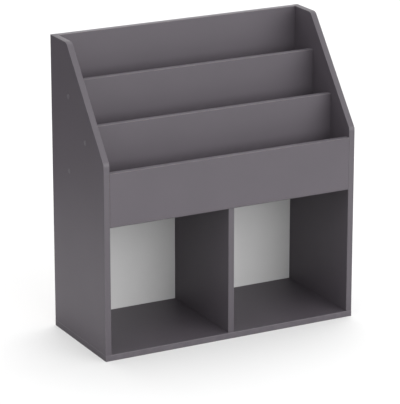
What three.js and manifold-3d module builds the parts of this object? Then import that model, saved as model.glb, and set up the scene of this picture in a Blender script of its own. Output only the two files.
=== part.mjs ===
import * as THREE from 'three';
import { mergeVertices } from 'three/addons/utils/BufferGeometryUtils.js';
import Module from 'manifold-3d';

const wasm = await Module();
wasm.setup();

// A picture book browser bin: three stepped pockets that show books cover first, above two open cubbies.
// Millimetres, +Z up, the front faces -Y, the origin is on the floor under the middle of the footprint.

// Boards, back sheet and edge bands
const boardThickness = 16;
const sheetThickness = 3;
const bandThickness = 1;

// Cubbies
const cubbyWidth = 335;
const cubbyHeight = 335;
const partitionRecess = 3;

// Pockets: clear depth, height of the fascia, rise from one wall's top to the next,
// and drop from a wall's top to the floor of the pocket behind it
const pocketDepth = 79;
const fasciaHeight = 140;
const pocketRise = 96;
const floorDrop = 131;

// Side outline: the slope starts above the fascia and ends in a short flat top
const backRise = 97;
const slopeRise = 24;
const flatTopDepth = 95;
const cornerRadius = 20;
const cornerDivisions = 3;

// Back sheet: set in from the outer edges, lapped onto the shelf's edge
const sheetInset = 2;
const sheetLap = 12;

// Connecting screws with a countersunk head and a hexagon socket
const screwLength = 50;
const shankRadius = 3.5;
const tipRadius = 2.5;
const tipLength = 6;
const headRadius = 5;
const headRim = 0.8;
const headTaper = 3;
const headSink = 0.4;
const socketSides = 6;
const socketRadius = 2.3;
const socketDepth = 3;

// Screw covers: a low dome with a peg that plugs into the screw's socket
const coverRadius = 6.5;
const coverHeight = 1.2;
const coverRim = 0.5;
const coverRings = 3;
const pegLength = 2.4;

// Dowels
const dowelRadius = 4;
const dowelLength = 30;
const dowelInSide = 10;
const dowelChamfer = 1;

// Places of the fasteners, measured from the edges of the boards that they hold
const dividerScrewDrop = 41;
const dividerDowelLift = 41;
const fasciaDowelInset = 35;
const shelfDowelInset = 50;
const backDowelInset = 60;
const floorDowelInset = 30;
const baseScrewInset = 60;

// Clearances: butt joints, glued bands, fasteners in their bores
const hairline = 0.1;
const glueLine = 0.3;
const boreClearance = 0.3;
const boreOvercut = 1;
const roundSegments = 12;

// Widths and depths
const overallWidth = 2 * cubbyWidth + 3 * boardThickness;
const outerX = overallWidth / 2;
const innerX = outerX - boardThickness;
const boardEnd = innerX - hairline;
const pitch = pocketDepth + boardThickness;
const carcassDepth = 3 * pitch + boardThickness;
const overallDepth = carcassDepth + hairline + sheetThickness;
const frontY = -overallDepth / 2;
const backY = frontY + carcassDepth;
const fasciaY = frontY;
const middleY = fasciaY + pitch;
const rearY = middleY + pitch;
const backBoardY = rearY + pitch;
const midBoard = boardThickness / 2;
const bandedEdge = bandThickness + glueLine;

// Heights
const baseTop = boardThickness;
const shelfBottom = baseTop + cubbyHeight;
const shelfTop = shelfBottom + boardThickness;
const fasciaTop = shelfBottom + fasciaHeight;
const middleTop = fasciaTop + pocketRise;
const rearTop = middleTop + pocketRise;
const overallHeight = rearTop + backRise;
const middleFloorTop = middleTop - floorDrop;
const rearFloorTop = rearTop - floorDrop;

const finishes = {
  melamine: { color: 0x706b70, roughness: 0.55, metalness: 0 },
  edgeBand: { color: 0x767177, roughness: 0.45, metalness: 0 },
  whiteLacquer: { color: 0xe6e6e4, roughness: 0.6, metalness: 0 },
  zincSteel: { color: 0xb8bcc2, roughness: 0.35, metalness: 1 },
  greyPlastic: { color: 0x85828a, roughness: 0.5, metalness: 0 },
  beech: { color: 0xc8a67a, roughness: 0.8, metalness: 0 },
};

function addPiece(group, name, geometry, finish) {
  const material = new THREE.MeshStandardMaterial({ ...finishes[finish], flatShading: true });
  const mesh = new THREE.Mesh(geometry, material);
  mesh.name = name;
  group.add(mesh);
  return mesh;
}

function toSolid(geometry) {
  const bare = geometry.clone();
  bare.deleteAttribute('normal');
  bare.deleteAttribute('uv');
  const welded = mergeVertices(bare);
  const corners = welded.index.array;
  const triangles = [];
  for (let i = 0; i < corners.length; i += 3) {
    const [a, b, c] = corners.slice(i, i + 3);
    if (a !== b && b !== c && c !== a) triangles.push(a, b, c);
  }
  const vertProperties = welded.attributes.position.array;
  const triVerts = new Uint32Array(triangles);
  return new wasm.Manifold(new wasm.Mesh({ numProp: 3, vertProperties, triVerts }));
}

function toGeometry(solid) {
  const { vertProperties, triVerts } = solid.getMesh();
  const geometry = new THREE.BufferGeometry();
  geometry.setAttribute('position', new THREE.BufferAttribute(vertProperties, 3));
  geometry.setIndex(new THREE.BufferAttribute(triVerts, 1));
  return geometry;
}

function turned(profile, segments = roundSegments) {
  const outline = profile.map(([radius, along]) => new THREE.Vector2(radius, along));
  return new THREE.LatheGeometry(outline, segments);
}

// Fasteners are turned about their own Y axis, which points into the board from its outer face.
const headEnd = headSink + headRim;
const screwEnd = headSink + screwLength;

function screwGeometry() {
  const body = turned([
    [0, headSink],
    [headRadius, headSink],
    [headRadius, headEnd],
    [shankRadius, headEnd + headTaper],
    [shankRadius, screwEnd - tipLength],
    [tipRadius, screwEnd],
    [0, screwEnd],
  ]);
  const socketEnd = headSink + socketDepth;
  const socket = turned([
    [0, -boreOvercut],
    [socketRadius, -boreOvercut],
    [socketRadius, socketEnd],
    [0, socketEnd],
  ], socketSides);
  return toGeometry(toSolid(body).subtract(toSolid(socket)));
}

function screwBore() {
  const wide = headRadius + boreClearance;
  const narrow = shankRadius + boreClearance;
  const end = screwEnd + boreClearance;
  return turned([
    [0, -boreOvercut],
    [wide, -boreOvercut],
    [wide, headEnd],
    [narrow, headEnd + headTaper],
    [narrow, end],
    [0, end],
  ]);
}

function coverGeometry() {
  const dome = Array.from({ length: coverRings + 1 }, (_, ring) => {
    const share = ring / coverRings;
    return [coverRadius * share, -coverRim - (coverHeight - coverRim) * (1 - share * share)];
  });
  const pegRadius = socketRadius * Math.cos(Math.PI / socketSides) - boreClearance;
  return turned([
    ...dome,
    [coverRadius, -hairline],
    [pegRadius, -hairline],
    [pegRadius, pegLength],
    [0, pegLength],
  ]);
}

function dowelGeometry() {
  const end = dowelLength / 2;
  const tip = dowelRadius - dowelChamfer;
  const shoulder = end - dowelChamfer;
  return turned([
    [0, -end],
    [tip, -end],
    [dowelRadius, -shoulder],
    [dowelRadius, shoulder],
    [tip, end],
    [0, end],
  ]);
}

function dowelBore() {
  const end = dowelLength / 2 + boreClearance;
  const radius = dowelRadius + boreClearance;
  return turned([[0, -end], [radius, -end], [radius, end], [0, end]]);
}

const fasteners = new THREE.Group();
const bores = [];
const turnedAxis = new THREE.Vector3(0, 1, 0);

function addFastener(name, geometry, finish, place, direction) {
  const mesh = addPiece(fasteners, name, geometry, finish);
  mesh.position.set(...place);
  mesh.quaternion.setFromUnitVectors(turnedAxis, direction);
  mesh.updateMatrix();
  return mesh;
}

function addBore(geometry, mesh) {
  bores.push(toSolid(geometry.applyMatrix4(mesh.matrix)));
}

const sides = [
  { side: 'left', sign: -1, inward: new THREE.Vector3(1, 0, 0) },
  { side: 'right', sign: 1, inward: new THREE.Vector3(-1, 0, 0) },
];
const upward = new THREE.Vector3(0, 0, 1);

const sideScrews = [
  ['middle_divider', middleY + midBoard, middleTop - dividerScrewDrop],
  ['rear_divider', rearY + midBoard, rearTop - dividerScrewDrop],
  ['middle_floor', rearY + midBoard, middleFloorTop - midBoard],
];
const sideDowels = [
  ['fascia_lower', fasciaY + midBoard, shelfBottom + fasciaDowelInset],
  ['fascia_upper', fasciaY + midBoard, fasciaTop - fasciaDowelInset],
  ['shelf_front', fasciaY + boardThickness + shelfDowelInset, shelfTop - midBoard],
  ['shelf_rear', backY - shelfDowelInset, shelfTop - midBoard],
  ['middle_divider', middleY + midBoard, shelfTop + dividerDowelLift],
  ['rear_divider', rearY + midBoard, middleFloorTop + dividerDowelLift],
  ['middle_floor', middleY + boardThickness + floorDowelInset, middleFloorTop - midBoard],
  ['rear_floor', backBoardY - pocketDepth / 2, rearFloorTop - midBoard],
  ['back_board_lower', backBoardY + midBoard, shelfTop + backDowelInset],
  ['back_board_upper', backBoardY + midBoard, overallHeight - backDowelInset],
];
const baseScrews = [
  ['left_front', midBoard - outerX, frontY + baseScrewInset],
  ['left_rear', midBoard - outerX, backY - baseScrewInset],
  ['partition', 0, frontY + baseScrewInset],
  ['right_front', outerX - midBoard, frontY + baseScrewInset],
  ['right_rear', outerX - midBoard, backY - baseScrewInset],
];

for (const { side, sign, inward } of sides) {
  for (const [held, y, z] of sideScrews) {
    const place = [sign * outerX, y, z];
    const screw = addFastener(`${side}_${held}_screw`, screwGeometry(), 'zincSteel', place, inward);
    addBore(screwBore(), screw);
    addFastener(`${side}_${held}_screw_cover`, coverGeometry(), 'greyPlastic', place, inward);
  }
  for (const [held, y, z] of sideDowels) {
    const middle = sign * (innerX + dowelInSide - dowelLength / 2);
    const dowel = addFastener(`${side}_${held}_dowel`, dowelGeometry(), 'beech', [middle, y, z], inward);
    addBore(dowelBore(), dowel);
  }
}
for (const [held, x, y] of baseScrews) {
  const screw = addFastener(`base_screw_${held}`, screwGeometry(), 'zincSteel', [x, y, 0], upward);
  addBore(screwBore(), screw);
}

// Boards and straight bands are boxes between a low and a high corner.
function addBox(group, name, finish, low, high) {
  const box = new THREE.Box3(new THREE.Vector3(...low), new THREE.Vector3(...high));
  const size = box.getSize(new THREE.Vector3());
  const mesh = addPiece(group, name, new THREE.BoxGeometry(size.x, size.y, size.z), finish);
  box.getCenter(mesh.position);
  return mesh;
}

function drill(mesh) {
  const { x, y, z } = mesh.position;
  const blank = toSolid(mesh.geometry).translate(x, y, z);
  const drilled = bores.reduce((solid, bore) => solid.subtract(bore), blank);
  mesh.geometry = toGeometry(drilled.translate(-x, -y, -z));
}

function addBoard(group, name, low, high) {
  drill(addBox(group, name, 'melamine', low, high));
}

// Carcass
const carcass = new THREE.Group();
const baseCoreX = outerX - bandedEdge;
const partitionY = frontY + partitionRecess;
const partitionLow = baseTop + hairline;
const partitionHigh = shelfBottom - hairline;
addBoard(carcass, 'base_panel', [-baseCoreX, frontY + bandedEdge, 0], [baseCoreX, backY, baseTop]);
addBoard(
  carcass, 'centre_partition',
  [-midBoard, partitionY + bandedEdge, partitionLow], [midBoard, backY, partitionHigh],
);
addBoard(
  carcass, 'cubby_shelf',
  [-boardEnd, fasciaY + boardThickness + hairline, shelfBottom], [boardEnd, backY, shelfTop],
);
const sheetX = outerX - sheetInset;
const sheetY = backY + hairline;
addBox(
  carcass, 'lower_back_sheet', 'whiteLacquer',
  [-sheetX, sheetY, sheetInset], [sheetX, sheetY + sheetThickness, shelfBottom + sheetLap],
);

// Upright walls and floors of the pockets
const pockets = new THREE.Group();

function addWall(name, y, low, high) {
  addBoard(pockets, name, [-boardEnd, y, low], [boardEnd, y + boardThickness, high]);
}

function addFloor(name, front, back, top) {
  addBoard(pockets, name, [-boardEnd, front, top - boardThickness], [boardEnd, back, top]);
}

addWall('front_fascia', fasciaY, shelfBottom + bandedEdge, fasciaTop - bandedEdge);
addWall('middle_divider', middleY, shelfTop + hairline, middleTop - bandedEdge);
addWall('rear_divider', rearY, middleFloorTop + hairline, rearTop - bandedEdge);
addWall('upper_back_board', backBoardY, shelfTop + hairline, overallHeight - bandedEdge);
addFloor('middle_pocket_floor', middleY + boardThickness + hairline, rearY + boardThickness, middleFloorTop);
addFloor('rear_pocket_floor', rearY + boardThickness + hairline, backBoardY - hairline, rearFloorTop);

// Side panels: the front edge, the slope and the flat top are joined by round corners.
const sideBottom = baseTop + hairline;
const slopeFootZ = fasciaTop + slopeRise;
const slopeHeadY = backY - flatTopDepth;
const slopeAngle = Math.atan2(overallHeight - slopeFootZ, slopeHeadY - frontY);
const slopeNormal = slopeAngle + Math.PI / 2;
const footCentre = new THREE.Vector2(
  frontY + cornerRadius,
  slopeFootZ - cornerRadius * Math.tan((Math.PI / 2 - slopeAngle) / 2),
);
const headCentre = new THREE.Vector2(
  slopeHeadY + cornerRadius * Math.tan(slopeAngle / 2),
  overallHeight - cornerRadius,
);

function sideEdge(inset) {
  const path = new THREE.Path();
  path.moveTo(frontY + inset, sideBottom);
  path.lineTo(frontY + inset, footCentre.y);
  path.absarc(footCentre.x, footCentre.y, cornerRadius - inset, Math.PI, slopeNormal, true);
  path.absarc(headCentre.x, headCentre.y, cornerRadius - inset, slopeNormal, Math.PI / 2, true);
  path.lineTo(backY, overallHeight - inset);
  return path.getPoints(cornerDivisions);
}

const lengthwise = new THREE.Matrix4().makeBasis(
  new THREE.Vector3(0, 1, 0), new THREE.Vector3(0, 0, 1), new THREE.Vector3(1, 0, 0),
);

function addSideSlab(group, name, finish, outline, x) {
  const extrusion = { depth: boardThickness, bevelEnabled: false };
  const slab = new THREE.ExtrudeGeometry(new THREE.Shape(outline), extrusion);
  const mesh = addPiece(group, name, slab.applyMatrix4(lengthwise), finish);
  mesh.position.x = x;
  return mesh;
}

const bands = new THREE.Group();
for (const { side, sign } of sides) {
  const x = sign < 0 ? -outerX : innerX;
  const core = [...sideEdge(bandedEdge), new THREE.Vector2(backY, sideBottom)];
  const band = [...sideEdge(0), ...sideEdge(bandThickness).reverse()];
  drill(addSideSlab(carcass, `${side}_side_panel`, 'melamine', core, x));
  addSideSlab(bands, `${side}_side_band`, 'edgeBand', band, x);
  const [endLow, endHigh] = sign < 0 ? [-outerX, bandThickness - outerX] : [outerX - bandThickness, outerX];
  addBox(
    bands, `base_${side}_band`, 'edgeBand',
    [endLow, frontY + bandedEdge, 0], [endHigh, backY, baseTop],
  );
}

// Straight bands
function addTopBand(name, y, top) {
  const low = [-boardEnd, y, top - bandThickness];
  addBox(bands, name, 'edgeBand', low, [boardEnd, y + boardThickness, top]);
}

addBox(
  bands, 'base_front_band', 'edgeBand',
  [-outerX, frontY, 0], [outerX, frontY + bandThickness, baseTop],
);
addBox(
  bands, 'partition_band', 'edgeBand',
  [-midBoard, partitionY, partitionLow], [midBoard, partitionY + bandThickness, partitionHigh],
);
addTopBand('fascia_bottom_band', fasciaY, shelfBottom + bandThickness);
addTopBand('fascia_top_band', fasciaY, fasciaTop);
addTopBand('middle_divider_band', middleY, middleTop);
addTopBand('rear_divider_band', rearY, rearTop);
addTopBand('back_board_band', backBoardY, overallHeight);

const browserBin = new THREE.Group();
browserBin.add(carcass, pockets, bands, fasteners);

export default browserBin;
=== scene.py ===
import math
import bpy
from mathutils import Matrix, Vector


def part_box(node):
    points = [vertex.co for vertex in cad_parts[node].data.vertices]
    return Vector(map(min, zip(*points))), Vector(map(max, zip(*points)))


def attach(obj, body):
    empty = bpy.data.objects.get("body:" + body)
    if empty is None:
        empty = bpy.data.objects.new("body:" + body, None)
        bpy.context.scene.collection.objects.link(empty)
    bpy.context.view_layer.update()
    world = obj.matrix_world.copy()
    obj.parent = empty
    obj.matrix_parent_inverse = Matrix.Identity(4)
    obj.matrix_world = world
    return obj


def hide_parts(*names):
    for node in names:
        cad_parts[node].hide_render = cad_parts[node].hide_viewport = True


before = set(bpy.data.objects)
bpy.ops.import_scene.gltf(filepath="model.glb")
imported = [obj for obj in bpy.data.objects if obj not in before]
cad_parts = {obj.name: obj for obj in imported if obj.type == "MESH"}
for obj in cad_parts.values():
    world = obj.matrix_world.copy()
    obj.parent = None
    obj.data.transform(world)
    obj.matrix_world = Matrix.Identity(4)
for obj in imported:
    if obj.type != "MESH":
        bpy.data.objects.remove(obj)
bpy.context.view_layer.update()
print("frame loaded:", len(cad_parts), "solids")

mm = 0.001  # the shapes below are given in millimetres
near = 0.05 * mm  # points closer than this count as level
weld = 0.001 * mm  # corners closer than this are merged


# camera at the photograph's angle

cameraView = {
    "place": (-2.892, -5.438, 2.283), "turn": 27.91, "tilt": 17.63,
    "lens": 222.8, "sensor": 36.0, "clip": 200.0,
}


def setCamera():
    view = cameraView
    bpy.ops.object.camera_add(location=view["place"])
    camera = bpy.context.object
    camera.name = "photoCamera"
    camera.rotation_euler = (math.radians(90 - view["tilt"]), 0, -math.radians(view["turn"]))
    camera.data.lens = view["lens"]
    camera.data.sensor_width = view["sensor"]
    camera.data.clip_end = view["clip"]
    bpy.context.scene.camera = camera


setCamera()
print("camera set")


# picking and small modelling steps


def clearSelection():
    if bpy.context.mode != "OBJECT":
        bpy.ops.object.mode_set(mode="OBJECT")
    bpy.ops.object.select_all(action="DESELECT")


def takeUp(piece):
    clearSelection()
    piece.select_set(True)
    bpy.context.view_layer.objects.active = piece


def nameIt(piece, name):
    piece.name = name
    piece.data.name = name
    return piece


def settle(piece):
    takeUp(piece)
    bpy.ops.object.transform_apply(location=True, rotation=True, scale=True)


def startPick(kind):
    bpy.ops.object.mode_set(mode="EDIT")
    bpy.ops.mesh.select_mode(type=kind)
    bpy.ops.mesh.select_all(action="DESELECT")
    bpy.ops.object.mode_set(mode="OBJECT")


# pick the corners that pass the test, and stay in edit mode
def pickCorners(piece, wanted):
    startPick("VERT")
    for corner in piece.data.vertices:
        corner.select = wanted(corner.co)
    bpy.ops.object.mode_set(mode="EDIT")


# pick the edges whose two ends pass one test and whose whole run passes the other
def pickEdges(piece, atEnds=None, asWhole=None):
    startPick("EDGE")
    points = [corner.co for corner in piece.data.vertices]
    for edge in piece.data.edges:
        a, b = [points[i] for i in edge.vertices]
        endsPass = atEnds is None or (atEnds(a) and atEnds(b))
        edge.select = endsPass and (asWhole is None or asWhole(a, b))
    bpy.ops.object.mode_set(mode="EDIT")


def pickAll():
    bpy.ops.object.mode_set(mode="EDIT")
    bpy.ops.mesh.select_all(action="SELECT")


def block(name, low, high):
    clearSelection()
    bpy.ops.mesh.primitive_cube_add(size=1, location=(low + high) / 2)
    piece = nameIt(bpy.context.object, name)
    bpy.ops.transform.resize(value=high - low)
    settle(piece)
    return piece


def ring(name, radius, corners, place=(0, 0, 0), fill="NOTHING"):
    clearSelection()
    bpy.ops.mesh.primitive_circle_add(vertices=corners, radius=radius, fill_type=fill, location=place)
    piece = nameIt(bpy.context.object, name)
    settle(piece)
    return piece


def push(x=0.0, y=0.0, z=0.0):
    bpy.ops.mesh.extrude_region_move(TRANSFORM_OT_translate={"value": (x, y, z)})


def spread(share):
    bpy.ops.transform.resize(value=(share, share, 1), center_override=(0, 0, 0))


def roundOff(size, steps=2):
    bpy.ops.mesh.bevel(offset=size, segments=steps, affect="EDGES")


def closeUp(piece, smoothAngle=35):
    pickAll()
    bpy.ops.mesh.remove_doubles(threshold=weld)
    bpy.ops.mesh.normals_make_consistent(inside=False)
    takeUp(piece)
    bpy.ops.object.shade_smooth_by_angle(angle=math.radians(smoothAngle))
    bpy.ops.object.modifier_add(type="WEIGHTED_NORMAL")  # keeps the flats flat beside their eased arrises
    even = piece.modifiers[-1]
    even.weight = 100  # the largest face at a corner decides
    even.keep_sharp = True
    bpy.ops.object.modifier_apply(modifier=even.name)


def copyOf(master, name):
    takeUp(master)
    bpy.ops.object.duplicate(linked=False)
    return nameIt(bpy.context.object, name)


# turn a copy so that the master's +Z looks outwards, and set it in its place
def setDown(master, name, place, outward):
    piece = copyOf(master, name)
    piece.rotation_mode = "QUATERNION"
    piece.rotation_quaternion = Vector(outward).to_track_quat("Z", "Y")
    piece.location = place
    settle(piece)
    return piece


def throwAway(pieces):
    clearSelection()
    for piece in pieces:
        piece.select_set(True)
    bpy.ops.object.delete()


# cut all the cutters out of a piece at once
def cutAway(piece, cutters):
    clearSelection()
    for cutter in cutters:
        cutter.select_set(True)
    bpy.context.view_layer.objects.active = cutters[0]
    if len(cutters) > 1:
        bpy.ops.object.join()
    cutter = bpy.context.object
    takeUp(piece)
    bpy.ops.object.modifier_add(type="BOOLEAN")
    bite = piece.modifiers[-1]
    bite.operation = "DIFFERENCE"
    bite.solver = "EXACT"
    bite.object = cutter
    bpy.ops.object.modifier_apply(modifier=bite.name)
    throwAway([cutter])


def standsFor(piece, node):
    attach(piece, "root")
    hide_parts(node)


# materials: a grain is a noise's scale and detail (and roughness), a relief a bump's depth and strength

noiseSpan = (0.3, 0.7)  # a noise seldom leaves this span


def shade(colour, share):
    return tuple(c * share for c in colour)


class Finish:
    def __init__(self, name, colour, metallic=0.0):
        self.material = bpy.data.materials.new(name)
        self.material.use_nodes = True
        self.nodes = self.material.node_tree.nodes
        self.links = self.material.node_tree.links
        self.shader = self.nodes["Principled BSDF"]
        self.shader.inputs["Base Color"].default_value = (*colour, 1)
        self.shader.inputs["Metallic"].default_value = metallic
        self.material.diffuse_color = (*colour, 1)
        self.where = self.nodes.new("ShaderNodeTexCoord").outputs["Object"]

    def join(self, out, into):
        self.links.new(out, into)

    def stretched(self, scales):
        mapping = self.nodes.new("ShaderNodeMapping")
        mapping.inputs["Scale"].default_value = scales
        self.join(self.where, mapping.inputs["Vector"])
        return mapping.outputs["Vector"]

    def noise(self, scale, detail, roughness=0.55, where=None):
        node = self.nodes.new("ShaderNodeTexNoise")
        node.inputs["Scale"].default_value = scale
        node.inputs["Detail"].default_value = detail
        node.inputs["Roughness"].default_value = roughness
        self.join(where or self.where, node.inputs["Vector"])
        return node.outputs["Fac"]

    def cells(self, scale, where=None, feature="F1", out="Distance"):
        node = self.nodes.new("ShaderNodeTexVoronoi")
        node.feature = feature
        node.inputs["Scale"].default_value = scale
        self.join(where or self.where, node.inputs["Vector"])
        return node.outputs[out]

    def ramp(self, value, places, colours):
        node = self.nodes.new("ShaderNodeValToRGB")
        bar = node.color_ramp.elements
        while len(bar) < len(places):
            bar.new(0.5)
        for stop, place, colour in zip(bar, places, colours):
            stop.position = place
            stop.color = (*colour, 1)
        self.join(value, node.inputs["Fac"])
        return node.outputs["Color"]

    def tinted(self, value, colour, shades):
        return self.ramp(value, noiseSpan, [shade(colour, share) for share in shades])

    def between(self, value, low, high, span=noiseSpan):
        node = self.nodes.new("ShaderNodeMapRange")
        node.inputs["From Min"].default_value = span[0]
        node.inputs["From Max"].default_value = span[1]
        node.inputs["To Min"].default_value = low
        node.inputs["To Max"].default_value = high
        self.join(value, node.inputs["Value"])
        return node.outputs["Result"]

    def times(self, a, b):
        node = self.nodes.new("ShaderNodeMath")
        node.operation = "MULTIPLY"
        self.join(a, node.inputs[0])
        self.join(b, node.inputs[1])
        return node.outputs["Value"]

    def over(self, share, under, upper):
        node = self.nodes.new("ShaderNodeMix")
        node.data_type = "RGBA"
        self.join(share, node.inputs["Factor"])
        self.join(under, node.inputs["A"])
        node.inputs["B"].default_value = (*upper, 1)
        return node.outputs["Result"]

    def mark(self, name):
        node = self.nodes.new("ShaderNodeAttribute")
        node.attribute_name = name
        return node.outputs["Fac"]

    def bump(self, height, depth, strength, after=None):
        node = self.nodes.new("ShaderNodeBump")
        node.inputs["Strength"].default_value = strength
        node.inputs["Distance"].default_value = depth
        self.join(height, node.inputs["Height"])
        if after is not None:
            self.join(after, node.inputs["Normal"])
        return node.outputs["Normal"]

    def colour(self, out):
        self.join(out, self.shader.inputs["Base Color"])

    def rough(self, value, low, high):
        self.join(self.between(value, low, high), self.shader.inputs["Roughness"])

    def relief(self, out):
        self.join(out, self.shader.inputs["Normal"])


melamineLook = {
    "grey": (0.0765, 0.0663, 0.0787), "worn": (0.115, 0.104, 0.118), "speckShade": 1.25,
    "cloudGrain": (9, 5), "cloudShades": (0.965, 1.035),
    "speckGrain": (900, 2), "speckCover": (0.0, 0.16), "speckSpan": (0.45, 0.8),
    "rubGrain": (45, 6), "rubCover": (0.1, 0.75), "rubSpan": (0.35, 0.7),
    "glossGrain": (420, 3), "roughness": (0.49, 0.56),
    "pearlScale": 620, "pearlRelief": (0.05 * mm, 0.4),
    "waveGrain": (26, 2), "waveRelief": (0.08 * mm, 0.06),
}


# graphite melamine paper: cloudy print, pressed pearl grain, arrises rubbed lighter
def melamineFinish():
    look = melamineLook
    f = Finish("graphiteMelamine", look["grey"])
    cloud = f.tinted(f.noise(*look["cloudGrain"]), look["grey"], look["cloudShades"])
    specks = f.between(f.noise(*look["speckGrain"]), *look["speckCover"], look["speckSpan"])
    printed = f.over(specks, cloud, shade(look["grey"], look["speckShade"]))
    patches = f.between(f.noise(*look["rubGrain"]), *look["rubCover"], look["rubSpan"])
    f.colour(f.over(f.times(f.mark("wearAndHighlightMark"), patches), printed, look["worn"]))
    f.rough(f.noise(*look["glossGrain"]), *look["roughness"])
    pearl = f.bump(f.cells(look["pearlScale"]), *look["pearlRelief"])
    f.relief(f.bump(f.noise(*look["waveGrain"]), *look["waveRelief"], after=pearl))
    return f.material


# the band's worn grey on its arrises is partly wear and partly a painted highlight
bandLook = {
    "grey": (0.0735, 0.0642, 0.0756), "worn": (0.140, 0.128, 0.143),
    "acrossScale": 420, "alongScale": 3, "drawGrain": (1, 3, 0.6), "drawShades": (0.97, 1.03),
    "scrapeGrain": (60, 5), "scrapeAndHighlightCover": (0.45, 1.0), "scrapeSpan": (0.35, 0.7),
    "roughness": (0.36, 0.5), "drawRelief": (0.02 * mm, 0.6),
}


# plastic edge strip: fine draw lines along its run, arrises painted lighter, partly scraped wear and
# partly a painted highlight
def bandFinish(name, run):
    look = bandLook
    f = Finish(name, look["grey"])
    where = f.stretched([look["alongScale"] if axis in run else look["acrossScale"] for axis in "xyz"])
    lines = f.noise(*look["drawGrain"], where=where)
    drawn = f.tinted(lines, look["grey"], look["drawShades"])
    patches = f.between(f.noise(*look["scrapeGrain"]), *look["scrapeAndHighlightCover"], look["scrapeSpan"])
    # arrises lightened: partly scraped wear, partly a painted highlight
    f.colour(f.over(f.times(f.mark("wearAndHighlightMark"), patches), drawn, look["worn"]))
    f.rough(lines, *look["roughness"])
    f.relief(f.bump(lines, *look["drawRelief"]))
    return f.material


coreLook = {
    "chip": (0.46, 0.31, 0.18), "dark": (0.20, 0.12, 0.06), "pale": (0.60, 0.44, 0.28),
    "chipScale": 260, "layerScale": 900, "chipShade": 0.75, "chipStops": (0.1, 0.5, 0.9),
    "pitCover": (0.85, 0.0), "pitSpan": (0.0, 0.12),
    "fuzzGrain": (300, 3), "roughness": (0.75, 0.95), "chipRelief": (0.3 * mm, 0.6),
}


# sawn chipboard: flat chips of several browns with dark pits between them
def coreFinish(name, thickness):
    look = coreLook
    chip = look["chip"]
    f = Finish(name, chip)
    where = f.stretched([look["layerScale"] if axis == thickness else look["chipScale"] for axis in "xyz"])
    browns = (shade(chip, look["chipShade"]), chip, look["pale"])
    chips = f.ramp(f.cells(1, where, out="Color"), look["chipStops"], browns)
    pits = f.between(f.cells(1, where, "DISTANCE_TO_EDGE"), *look["pitCover"], look["pitSpan"])
    f.colour(f.over(pits, chips, look["dark"]))
    f.rough(f.noise(*look["fuzzGrain"]), *look["roughness"])
    f.relief(f.bump(f.cells(1, where), *look["chipRelief"]))
    return f.material


lacquerLook = {
    "white": (0.62, 0.62, 0.62), "cloudGrain": (14, 5), "cloudShades": (0.985, 1.01),
    "glossGrain": (90, 3), "roughness": (0.42, 0.58),
    "dimpleGrain": (350, 3), "dimpleRelief": (0.03 * mm, 0.5),
}


# thin white paint on smooth hardboard
def lacquerFinish():
    look = lacquerLook
    f = Finish("whiteLacquer", look["white"])
    f.colour(f.tinted(f.noise(*look["cloudGrain"]), look["white"], look["cloudShades"]))
    f.rough(f.noise(*look["glossGrain"]), *look["roughness"])
    f.relief(f.bump(f.noise(*look["dimpleGrain"]), *look["dimpleRelief"]))
    return f.material


fibreLook = {
    "brown": (0.235, 0.130, 0.062), "light": (0.36, 0.215, 0.115),
    "mattGrain": (420, 6, 0.7), "mattShade": 0.8, "mattStops": (0.3, 0.55, 0.75),
    "mattRelief": (0.1 * mm, 0.5),
    "blotchGrain": (12, 4), "blotchShade": 1.05, "blotchCover": (0.0, 0.2), "blotchSpan": (0.4, 0.7),
    "roughness": (0.8, 0.96), "screenSize": 2.2 * mm, "screenRelief": (0.25 * mm, 0.45),
}


# rough back of hardboard: matted fibres with the print of the pressing screen
def fibreFinish():
    look = fibreLook
    f = Finish("rawHardboard", look["brown"])
    matted = f.noise(*look["mattGrain"])
    browns = (shade(look["brown"], look["mattShade"]), look["brown"], look["light"])
    blotch = f.between(f.noise(*look["blotchGrain"]), *look["blotchCover"], look["blotchSpan"])
    fibres = f.ramp(matted, look["mattStops"], browns)
    f.colour(f.over(blotch, fibres, shade(look["light"], look["blotchShade"])))
    f.rough(matted, *look["roughness"])
    screen = f.cells(1 / look["screenSize"], feature="DISTANCE_TO_EDGE")
    pressed = f.bump(screen, *look["screenRelief"])
    f.relief(f.bump(matted, *look["mattRelief"], after=pressed))
    return f.material


zincLook = {
    "metal": (0.60, 0.62, 0.64), "dull": (0.42, 0.43, 0.44),
    "spangleGrain": (700, 4), "spangleStops": (0.3, 0.65), "spangleRelief": (0.02 * mm, 0.4),
    "markGrain": (260, 3), "roughness": (0.26, 0.46),
}


# zinc plating with faint spangle and handling marks
def zincFinish():
    look = zincLook
    f = Finish("zincPlate", look["metal"], metallic=1.0)
    spangle = f.noise(*look["spangleGrain"])
    f.colour(f.ramp(spangle, look["spangleStops"], (look["dull"], look["metal"])))
    f.rough(f.noise(*look["markGrain"]), *look["roughness"])
    f.relief(f.bump(spangle, *look["spangleRelief"]))
    return f.material


coverLook = {
    "grey": (0.112, 0.101, 0.115), "cloudGrain": (240, 4), "cloudShades": (0.96, 1.05),
    "sparkGrain": (1600, 3), "roughness": (0.4, 0.55), "sparkRelief": (0.03 * mm, 0.5),
}


# moulded plastic with a fine spark texture
def coverFinish():
    look = coverLook
    f = Finish("coverPlastic", look["grey"])
    spark = f.noise(*look["sparkGrain"])
    f.colour(f.tinted(f.noise(*look["cloudGrain"]), look["grey"], look["cloudShades"]))
    f.rough(spark, *look["roughness"])
    f.relief(f.bump(spark, *look["sparkRelief"]))
    return f.material


beechLook = {
    "wood": (0.52, 0.34, 0.19), "ray": (0.40, 0.24, 0.12), "paleShade": 1.15, "stops": (0.35, 0.6, 0.8),
    "scales": (60, 900, 900), "grain": (1, 5, 0.65), "roughness": (0.66, 0.84), "relief": (0.08 * mm, 0.5),
}


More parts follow.
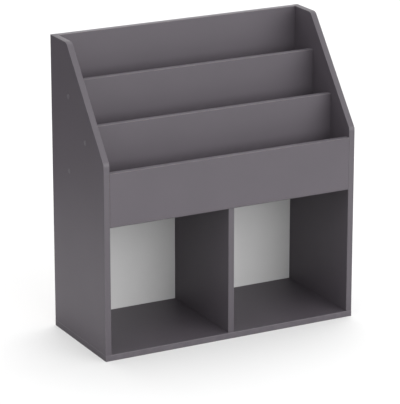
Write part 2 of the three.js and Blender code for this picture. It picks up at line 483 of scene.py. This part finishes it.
# raw beech with its grain along the dowel
def beechFinish():
    look = beechLook
    f = Finish("rawBeech", look["wood"])
    grain = f.noise(*look["grain"], where=f.stretched(look["scales"]))
    browns = (look["ray"], look["wood"], shade(look["wood"], look["paleShade"]))
    f.colour(f.ramp(grain, look["stops"], browns))
    f.rough(grain, *look["roughness"])
    f.relief(f.bump(grain, *look["relief"]))
    return f.material


melamine = melamineFinish()
bandAcross = bandFinish("edgeBandAcross", "x")
bandDeep = bandFinish("edgeBandDeep", "y")
bandUpright = bandFinish("edgeBandUpright", "z")
bandProfile = bandFinish("edgeBandProfile", "yz")
core = {axis: coreFinish("chipboardCore" + axis.upper(), axis) for axis in "xyz"}
lacquer = lacquerFinish()
rawFibre = fibreFinish()
zinc = zincFinish()
coverPlastic = coverFinish()
beech = beechFinish()
print("finishes mixed:", len(bpy.data.materials))


def wear(piece, *materials):
    piece.data.materials.clear()
    for material in materials:
        piece.data.materials.append(material)


edgeLean = 0.3  # a face that looks along the thickness by less than this is an edge
flatLean = 0.97  # by more than this it is a flat, and between the two it is an arris


# edges get the second material, and arrises are marked for the lighter rubbed colour, which on the bands
# is partly a painted highlight
def dress(piece, faceMaterial, edgeMaterial, axis, flatRubAndHighlight=0.0):
    wear(piece, faceMaterial, edgeMaterial)
    wearAndHighlightMark = piece.data.attributes.new("wearAndHighlightMark", "FLOAT", "FACE")
    for face in piece.data.polygons:
        lean = abs(face.normal[axis])
        face.material_index = 1 if lean < edgeLean else 0
        wearAndHighlightMark.data[face.index].value = 1.0 if edgeLean <= lean < flatLean else flatRubAndHighlight


# fasteners, each modelled once about Z at the origin and copied to its places

screwShape = {
    "head": 5.0, "rim": 0.8, "cone": 3.0, "shank": 3.5, "tip": 2.5, "tipLength": 6.0, "length": 50.0,
    "sink": 0.4, "socket": 2.3, "socketDepth": 3.0, "socketCorners": 6, "ease": 0.25, "corners": 24,
    "boreGap": 0.3, "boreRise": 1.0,
}


# countersunk body, open at the head, with the board's face at zero
def turnScrew(name, grow, tip):
    screw = screwShape
    head = screw["head"] + grow
    shank = screw["shank"] + grow
    piece = ring(name, head * mm, screw["corners"])
    pickAll()
    bpy.ops.transform.translate(value=(0, 0, -screw["sink"] * mm))
    push(z=-screw["rim"] * mm)
    push(z=-screw["cone"] * mm)
    spread(shank / head)
    push(z=-(screw["length"] - screw["rim"] - screw["cone"] - screw["tipLength"]) * mm)
    push(z=-(screw["tipLength"] + grow) * mm)
    spread(tip / shank)
    bpy.ops.mesh.edge_face_add()
    return piece


# the head is closed by a ring around a hexagon socket
def modelScrew():
    screw = screwShape
    top = -screw["sink"] * mm
    rim = screw["head"] * mm
    socket = screw["socket"] * mm
    piece = turnScrew("screwMaster", 0.0, screw["tip"])
    bpy.ops.mesh.select_all(action="DESELECT")
    bpy.ops.mesh.primitive_circle_add(vertices=screw["socketCorners"], radius=socket, location=(0, 0, top))
    pickEdges(piece, lambda p: p.z > top - near)
    bpy.ops.mesh.bridge_edge_loops()
    pickEdges(piece, lambda p: p.z > top - near and p.xy.length < socket + near)
    push(z=-screw["socketDepth"] * mm)
    bpy.ops.mesh.edge_face_add()
    pickEdges(piece, lambda p: abs(p.z - top) < near and p.xy.length > rim - near)
    roundOff(screw["ease"] * mm)
    closeUp(piece)
    return piece


def modelScrewBore():
    screw = screwShape
    piece = turnScrew("screwBoreMaster", screw["boreGap"], screw["shank"] + screw["boreGap"])
    pickEdges(piece, lambda p: p.z > -screw["sink"] * mm - near)
    push(z=(screw["boreRise"] + screw["sink"]) * mm)
    bpy.ops.mesh.edge_face_add()
    closeUp(piece)
    return piece


dowelShape = {
    "radius": 4.0, "length": 30.0, "chamfer": 1.0, "flutes": 16, "fluteDepth": 0.25, "smooth": 25,
    "boreGap": 0.3, "boreCorners": 24,
}


# fluted beech dowel along Z, every second corner drawn in
def modelDowel():
    dowel = dowelShape
    chamfer = dowel["chamfer"] * mm
    foot = -dowel["length"] * mm / 2 + chamfer
    narrow = 1 - dowel["chamfer"] / dowel["radius"]
    cornerTurn = math.pi / dowel["flutes"]
    piece = ring("dowelMaster", dowel["radius"] * mm, dowel["flutes"] * 2, (0, 0, foot))
    pickCorners(piece, lambda p: round(math.atan2(p.y, p.x) / cornerTurn) % 2 == 0)
    spread(1 - dowel["fluteDepth"] / dowel["radius"])
    pickAll()
    push(z=dowel["length"] * mm - 2 * chamfer)
    push(z=chamfer)
    spread(narrow)
    bpy.ops.mesh.edge_face_add()
    pickEdges(piece, lambda p: p.z < foot + near)
    push(z=-chamfer)
    spread(narrow)
    bpy.ops.mesh.edge_face_add()
    closeUp(piece, dowel["smooth"])
    return piece


def modelDowelBore():
    dowel = dowelShape
    radius = (dowel["radius"] + dowel["boreGap"]) * mm
    half = (dowel["length"] / 2 + dowel["boreGap"]) * mm
    piece = ring("dowelBoreMaster", radius, dowel["boreCorners"], (0, 0, -half), "NGON")
    pickAll()
    push(z=2 * half)
    closeUp(piece)
    return piece


coverShape = {
    "radius": 6.5, "height": 1.2, "rim": 0.5, "seat": 0.1, "rings": 6, "corners": 48,
    "peg": 1.6, "pegLength": 2.4, "smooth": 50,
}


# low domed cap with a peg, dome towards +Z, the board's face at zero
def modelCover():
    cover = coverShape
    seat = cover["seat"] * mm
    rise = (cover["height"] - cover["rim"]) * mm
    piece = ring("coverMaster", cover["radius"] * mm, cover["corners"], (0, 0, seat))
    pickAll()
    push(z=cover["rim"] * mm - seat)
    turns = [step / cover["rings"] * math.pi / 2 for step in range(cover["rings"])]
    for last, turn in zip(turns, turns[1:]):
        push(z=rise * (math.sin(turn) - math.sin(last)))
        spread(math.cos(turn) / math.cos(last))
    bpy.ops.mesh.edge_face_add()
    bpy.ops.mesh.poke()
    pickEdges(piece, lambda p: p.z < seat + near)
    push()
    spread(cover["peg"] / cover["radius"])
    push(z=-cover["pegLength"] * mm - seat)
    bpy.ops.mesh.edge_face_add()
    closeUp(piece, cover["smooth"])
    return piece


nailShape = {
    "head": 3.0, "thick": 0.5, "shank": 0.8, "length": 20.0, "tip": 2.5, "point": 0.15,
    "ease": 0.15, "corners": 16,
}


# flat headed nail, head on the XY plane, shank down -Z
def modelNail():
    nail = nailShape
    rim = nail["head"] * mm
    piece = ring("nailMaster", rim, nail["corners"], fill="NGON")
    pickAll()
    bpy.ops.mesh.poke()
    pickEdges(piece, lambda p: p.length > rim - near)
    push(z=-nail["thick"] * mm)
    push()
    spread(nail["shank"] / nail["head"])
    push(z=-(nail["length"] - nail["thick"] - nail["tip"]) * mm)
    push(z=-nail["tip"] * mm)
    spread(nail["point"])
    bpy.ops.mesh.edge_face_add()
    pickEdges(piece, lambda p: abs(p.z) < near and p.length > rim - near)
    roundOff(nail["ease"] * mm)
    closeUp(piece)
    return piece


fastenerKinds = {
    "screw": {"master": modelScrew(), "bore": modelScrewBore(), "finish": zinc, "slot": "zinc_steel"},
    "dowel": {"master": modelDowel(), "bore": modelDowelBore(), "finish": beech, "slot": "beech_dowel"},
    "cover": {"master": modelCover(), "bore": None, "finish": coverPlastic, "slot": "screw_cover"},
}


# every fastener in the frame: kind, node, place and the way its head looks out
def findFastenings():
    found = []
    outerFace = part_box("right_side_panel")[1].x
    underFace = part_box("base_panel")[0].z
    for node in sorted(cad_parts):
        low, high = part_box(node)
        mid = (low + high) / 2
        side = math.copysign(1, mid.x)
        if node.startswith("base_screw"):
            found.append(("screw", node, (mid.x, mid.y, underFace), (0, 0, -1)))
        elif node.endswith(("_screw", "_cover")):
            found.append((node.split("_")[-1], node, (side * outerFace, mid.y, mid.z), (side, 0, 0)))
        elif node.endswith("_dowel"):
            found.append(("dowel", node, mid, (side, 0, 0)))
    return found


fastenings = findFastenings()
for kindName, node, place, outward in fastenings:
    kind = fastenerKinds[kindName]
    piece = setDown(kind["master"], "visual_" + node, place, outward)
    wear(piece, kind["finish"])
    standsFor(piece, node)
print("fasteners set:", len(fastenings))


# bore a board wherever a screw or dowel passes through its box
def drill(piece, low, high):
    cutters = []
    for kindName, node, place, outward in fastenings:
        bore = fastenerKinds[kindName]["bore"]
        a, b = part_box(node)
        if bore and all(a[i] < high[i] and b[i] > low[i] for i in range(3)):
            cutters.append(setDown(bore, "bore", place, outward))
    if cutters:
        cutAway(piece, cutters)


# flat boards: sawn to the node's box, arrises eased, bored, faces papered and edges left raw

boardShape = {
    "ease": 0.35,
    "nodes": (
        "base_panel", "centre_partition", "cubby_shelf", "front_fascia", "middle_divider", "rear_divider",
        "upper_back_board", "middle_pocket_floor", "rear_pocket_floor",
    ),
}


def sawBoard(node):
    low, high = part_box(node)
    size = high - low
    axis = min(range(3), key=lambda i: size[i])
    piece = block("visual_" + node, low, high)
    pickAll()
    roundOff(boardShape["ease"] * mm)
    drill(piece, low, high)
    closeUp(piece)
    dress(piece, melamine, core["xyz"[axis]], axis)
    standsFor(piece, node)


for node in boardShape["nodes"]:
    sawBoard(node)
print("boards sawn:", len(boardShape["nodes"]))


# side panels and their bands come from one outline: front edge, slope, flat top

# the last two shares paint the band tops and the base front lighter: partly wear, partly a painted
# highlight
bandShape = {"thick": 1.0, "glueLine": 0.3, "round": 0.8, "roundSteps": 3, "handledRubAndHighlight": 0.7, "scuffAndHighlight": 0.45}
sideShape = {
    "footRise": 24.0, "flatTop": 95.0, "cornerRadius": 20.0, "cornerSteps": 10, "flatAngle": 1.0,
    "spare": 4.0, "ease": 0.35,
}


# the outline's lines from the frame: the slope starts above the fascia and ends at the flat top
def sideLines(side):
    low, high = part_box(side + "_side_band")
    thick = high.x - low.x
    lines = {
        "x": low.x if side == "left" else high.x, "inward": thick if side == "left" else -thick,
        "front": low.y, "back": high.y, "bottom": low.z, "top": high.z,
        "foot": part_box("fascia_top_band")[1].z + sideShape["footRise"] * mm,
        "head": high.y - sideShape["flatTop"] * mm,
    }
    lines["slope"] = math.atan2(lines["top"] - lines["foot"], lines["head"] - lines["front"])
    return lines


# outline face on the panel's outer plane, with spare at the bottom and back to trim off
def sideOutline(name, lines):
    shape = sideShape
    x, front, head, foot, top = [lines[key] for key in ("x", "front", "head", "foot", "top")]
    back = lines["back"] + shape["spare"] * mm
    bottom = lines["bottom"] - shape["spare"] * mm
    clearSelection()
    bpy.ops.mesh.primitive_plane_add(size=1, location=(x, 0, 0), rotation=(0, math.pi / 2, 0))
    piece = nameIt(bpy.context.object, name)
    settle(piece)
    pickAll()
    bpy.ops.transform.resize(value=(1, back - front, foot - bottom), center_override=(x, 0, 0))
    bpy.ops.transform.translate(value=(0, (front + back) / 2, (foot + bottom) / 2))
    pickEdges(piece, lambda p: p.z > foot - near)
    push(z=top - foot)
    pickCorners(piece, lambda p: p.z > top - near and p.y < front + near)
    bpy.ops.transform.translate(value=(0, head - front, 0))
    pickAll()
    bpy.ops.mesh.dissolve_limited(angle_limit=math.radians(shape["flatAngle"]))
    for y, z, turn in ((front, foot, math.pi / 2 - lines["slope"]), (head, top, lines["slope"])):
        setBack = shape["cornerRadius"] * mm * math.tan(turn / 2)
        pickCorners(piece, lambda p: abs(p.y - y) < near and abs(p.z - z) < near)
        bpy.ops.mesh.bevel(offset=setBack, segments=shape["cornerSteps"], affect="VERTICES")
    pickAll()
    bpy.ops.mesh.select_mode(type="FACE")
    return piece


def trimSide(lines):
    pickAll()
    bpy.ops.mesh.bisect(plane_co=(0, 0, lines["bottom"]), plane_no=(0, 0, -1), clear_outer=True)
    pickAll()
    bpy.ops.mesh.bisect(plane_co=(0, lines["back"], 0), plane_no=(0, 1, 0), clear_outer=True)
    pickAll()
    push(x=lines["inward"])


# an edge along the outline, not one across a strip's end or through the board
def isLengthwise(a, b):
    return abs(a.x - b.x) < near and (a - b).length > bandShape["thick"] * mm + near


def sawSide(side, lines):
    node = side + "_side_panel"
    panel = sideOutline("visual_" + node, lines)
    bpy.ops.mesh.inset(thickness=(bandShape["thick"] + bandShape["glueLine"]) * mm, use_even_offset=True)
    bpy.ops.mesh.select_all(action="INVERT")
    bpy.ops.mesh.delete(type="FACE")
    trimSide(lines)
    pickAll()
    bpy.ops.mesh.normals_make_consistent(inside=False)
    pickEdges(panel, asWhole=isLengthwise)
    roundOff(sideShape["ease"] * mm)
    drill(panel, *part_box(node))
    closeUp(panel)
    dress(panel, melamine, core["x"], 0)
    standsFor(panel, node)


# the strip's outer arrises are the lengthwise edges on its weather side
def bandSide(side, lines):
    node = side + "_side_band"
    strip = sideOutline("visual_" + node, lines)
    bpy.ops.mesh.inset(thickness=bandShape["thick"] * mm, use_even_offset=True)
    bpy.ops.mesh.delete(type="FACE")
    trimSide(lines)
    closeUp(strip)

    def isOutside(p):
        toFront = p.y - lines["front"]
        toTop = lines["top"] - p.z
        toSlope = toFront * math.sin(lines["slope"]) - (p.z - lines["foot"]) * math.cos(lines["slope"])
        return min(toFront, toTop, toSlope) < bandShape["thick"] * mm / 2

    pickEdges(strip, isOutside, isLengthwise)
    roundOff(bandShape["round"] * mm, bandShape["roundSteps"])
    closeUp(strip)
    dress(strip, bandProfile, bandProfile, 0)
    standsFor(strip, node)


for side in ("left", "right"):
    lines = sideLines(side)
    sawSide(side, lines)
    bandSide(side, lines)
print("sides shaped")


# straight bands: a strip on each shown edge, its outer arrises rounded
# the tops of the boards and the front of the base are painted lighter, partly wear and partly a painted
# highlight

bands = {
    "base_front_band": {"face": (0, -1, 0), "finish": bandAcross, "rubAndHighlight": bandShape["scuffAndHighlight"]},
    "base_left_band": {"face": (-1, 0, 0), "finish": bandDeep, "rubAndHighlight": 0.0},
    "base_right_band": {"face": (1, 0, 0), "finish": bandDeep, "rubAndHighlight": 0.0},
    "partition_band": {"face": (0, -1, 0), "finish": bandUpright, "rubAndHighlight": 0.0},
    "fascia_bottom_band": {"face": (0, 0, -1), "finish": bandAcross, "rubAndHighlight": 0.0},
    "fascia_top_band": {"face": (0, 0, 1), "finish": bandAcross, "rubAndHighlight": bandShape["handledRubAndHighlight"]},
    "middle_divider_band": {"face": (0, 0, 1), "finish": bandAcross, "rubAndHighlight": bandShape["handledRubAndHighlight"]},
    "rear_divider_band": {"face": (0, 0, 1), "finish": bandAcross, "rubAndHighlight": bandShape["handledRubAndHighlight"]},
    "back_board_band": {"face": (0, 0, 1), "finish": bandAcross, "rubAndHighlight": bandShape["handledRubAndHighlight"]},
}


def layBand(node, band):
    low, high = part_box(node)
    size = high - low
    face = Vector(band["face"])
    axis = max(range(3), key=lambda i: abs(face[i]))
    run = max(range(3), key=lambda i: size[i])
    outer = max(face.dot(low), face.dot(high))
    piece = block("visual_" + node, low, high)

    def isAlongRun(a, b):
        return abs(a[run] - b[run]) > size[run] / 2

    pickEdges(piece, lambda p: face.dot(p) > outer - near, isAlongRun)
    roundOff(bandShape["round"] * mm, bandShape["roundSteps"])
    closeUp(piece)
    # a share of the flats is painted lighter too, partly wear and partly a painted highlight
    dress(piece, band["finish"], band["finish"], axis, band["rubAndHighlight"])
    standsFor(piece, node)


for node, band in bands.items():
    layBand(node, band)
print("bands laid:", len(bands))


# back sheet: white face to the cubbies, raw fibre behind, nail heads let in flush

sheetShape = {
    "ease": 0.25, "nailSide": 8.0, "nailEnd": 6.0, "nailsAcross": 5, "nailsUp": 2, "headSink": 0.05,
    "seat": 3.2, "seatDepth": 0.6, "seatCorners": 20,
}


# nails along the top and bottom edges, and in three rows up the sides and the middle
def nailSpots(low, high):
    sheet = sheetShape
    first = low.x + sheet["nailSide"] * mm
    step = (high.x - low.x - 2 * sheet["nailSide"] * mm) / (sheet["nailsAcross"] - 1)
    across = [first + step * i for i in range(sheet["nailsAcross"])]
    up = [low.z + (high.z - low.z) * (i + 1) / (sheet["nailsUp"] + 1) for i in range(sheet["nailsUp"])]
    ends = (low.z + sheet["nailEnd"] * mm, high.z - sheet["nailEnd"] * mm)
    spots = [(x, z) for x in across for z in ends]
    spots += [(x, z) for x in (across[0], (low.x + high.x) / 2, across[-1]) for z in up]
    return spots


def modelSeat():
    depth = sheetShape["seatDepth"] * mm
    piece = ring("seatMaster", sheetShape["seat"] * mm, sheetShape["seatCorners"], (0, 0, -depth), "NGON")
    pickAll()
    push(z=2 * depth)
    closeUp(piece)
    return piece


def layBackSheet():
    low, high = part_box("lower_back_sheet")
    spots = nailSpots(low, high)
    behind = (0, 1, 0)
    piece = block("visual_lower_back_sheet", low, high)
    pickAll()
    roundOff(sheetShape["ease"] * mm)
    seat = modelSeat()
    cutAway(piece, [setDown(seat, "nailSeat", (x, high.y, z), behind) for x, z in spots])
    closeUp(piece)
    wear(piece, lacquer, rawFibre)
    for face in piece.data.polygons:
        face.material_index = 0 if face.normal.y < -edgeLean else 1
    standsFor(piece, "lower_back_sheet")
    nailMaster = modelNail()
    for count, (x, z) in enumerate(spots):
        place = (x, high.y - sheetShape["headSink"] * mm, z)
        nail = setDown(nailMaster, "back_nail_" + str(count + 1), place, behind)
        wear(nail, zinc)
        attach(nail, "root")
    throwAway([seat, nailMaster])
    return len(spots)


print("back sheet nailed:", layBackSheet(), "nails")

for kind in fastenerKinds.values():
    throwAway([kind[part] for part in ("master", "bore") if kind[part]])


# pale floor and soft studio light

farReach = 40.0
fromRear = (0.41, 0.49, 0.77)
studio = {
    "floor": {"colour": (0.40, 0.40, 0.40), "glow": 0.35},
    "backdrop": {"colour": (0.0, 0.0, 0.0), "glow": 1.0, "height": 20.0},
    "corners": 96, "cloudGrain": (3, 3), "cloudShades": (0.995, 1.0),
    "sky": 0.84, "skyFade": -0.1, "lampReach": 4.0, "cardDrop": 1 * mm,
    "cards": {
        "nearCard": {"colour": (0.42, 0.42, 0.42), "glow": 0.0, "reach": 0.45, "bounces": True},
        "wideCard": {"colour": (0.70, 0.70, 0.70), "glow": 0.0, "reach": 1.3, "bounces": True},
        "farCard": {"colour": (0.70, 0.70, 0.70), "glow": 0.0, "reach": farReach, "bounces": False},
    },
    "lamps": {
        "frontLight": {"from": (0.38, -0.92, 0.13), "strength": 3.52, "spread": 75},
        "leftLight": {"from": (-1.0, 0.0, 0.09), "strength": 0.9, "spread": 80},
        "rearLight": {"from": fromRear, "strength": 0.6, "spread": 70},
        "topLight": {"from": (0.0, 0.0, 1.0), "strength": 0.7, "spread": 60},
    },
    "floorLight": {"from": fromRear, "strength": 1.85, "spread": 70},
}


# matt paint that may glow a little, without lighting anything
def stagePaint(name, look):
    f = Finish(name, look["colour"])
    f.shader.inputs["Specular IOR Level"].default_value = 0.0
    f.shader.inputs["Emission Color"].default_value = (1, 1, 1, 1)
    f.shader.inputs["Emission Strength"].default_value = look["glow"]
    f.material.cycles.emission_sampling = "NONE"
    return f


# the floor and its cards are a little cloudy
def floorPaint(name, look):
    f = stagePaint(name, look)
    f.colour(f.tinted(f.noise(*studio["cloudGrain"]), look["colour"], studio["cloudShades"]))
    return f.material


def forCameraOnly(piece):
    piece.visible_diffuse = False
    piece.visible_glossy = False
    piece.visible_shadow = False


def paleFloor():
    floor = ring("paleFloor", farReach, studio["corners"], fill="NGON")
    forCameraOnly(floor)
    wear(floor, floorPaint("paleFloorPaint", studio["floor"]))
    return floor


# cards just under the floor, hidden from the camera, throw light back onto the bin and stop it from below
def floorCards():
    inner = 0.0
    under = (0, 0, -studio["cardDrop"])
    for name, card in studio["cards"].items():
        if inner:
            piece = ring(name, inner, studio["corners"], under)
            pickAll()
            push()
            spread(card["reach"] / inner)
        else:
            piece = ring(name, card["reach"], studio["corners"], under, "NGON")
        closeUp(piece)
        piece.visible_camera = False
        piece.visible_diffuse = card["bounces"]
        piece.visible_glossy = card["bounces"]
        wear(piece, floorPaint(name + "Paint", card))
        inner = card["reach"]


# white backdrop all round at the end of the floor
def whiteBackdrop():
    wall = ring("whiteBackdrop", farReach, studio["corners"])
    pickAll()
    push(z=studio["backdrop"]["height"])
    clearSelection()
    forCameraOnly(wall)
    wear(wall, stagePaint("backdropWhite", studio["backdrop"]).material)


def softSun(name, light):
    toLamp = Vector(light["from"])
    clearSelection()
    bpy.ops.object.light_add(type="SUN", location=toLamp.normalized() * studio["lampReach"])
    lamp = bpy.context.object
    lamp.name = name
    lamp.data.energy = light["strength"]
    lamp.data.angle = math.radians(light["spread"])
    lamp.rotation_euler = toLamp.to_track_quat("Z", "Y").to_euler()
    return lamp


# a lamp for the floor alone draws the soft shadow to the front and left without brightening the bin
def lightOnly(lamp, receiver):
    takeUp(receiver)
    bpy.context.view_layer.objects.active = lamp
    bpy.ops.object.light_linking_receivers_link(link_state="INCLUDE")


# even sky, dark under the horizon
def dimSky():
    sky = bpy.data.worlds.new("studioSky")
    sky.use_nodes = True
    nodes = sky.node_tree.nodes
    links = sky.node_tree.links
    split = nodes.new("ShaderNodeSeparateXYZ")
    fade = nodes.new("ShaderNodeMapRange")
    fade.inputs["From Min"].default_value = studio["skyFade"]
    fade.inputs["From Max"].default_value = 0.0
    fade.inputs["To Max"].default_value = studio["sky"]
    links.new(nodes.new("ShaderNodeTexCoord").outputs["Generated"], split.inputs["Vector"])
    links.new(split.outputs["Z"], fade.inputs["Value"])
    links.new(fade.outputs["Result"], nodes["Background"].inputs["Strength"])
    nodes["Background"].inputs["Color"].default_value = (1, 1, 1, 1)
    bpy.context.scene.world = sky


floor = paleFloor()
floorCards()
whiteBackdrop()
for name, light in studio["lamps"].items():
    softSun(name, light)
lightOnly(softSun("floorLight", studio["floorLight"]), floor)
dimSky()
bpy.context.scene.view_settings.view_transform = "Standard"
print("studio lit")

clearSelection()
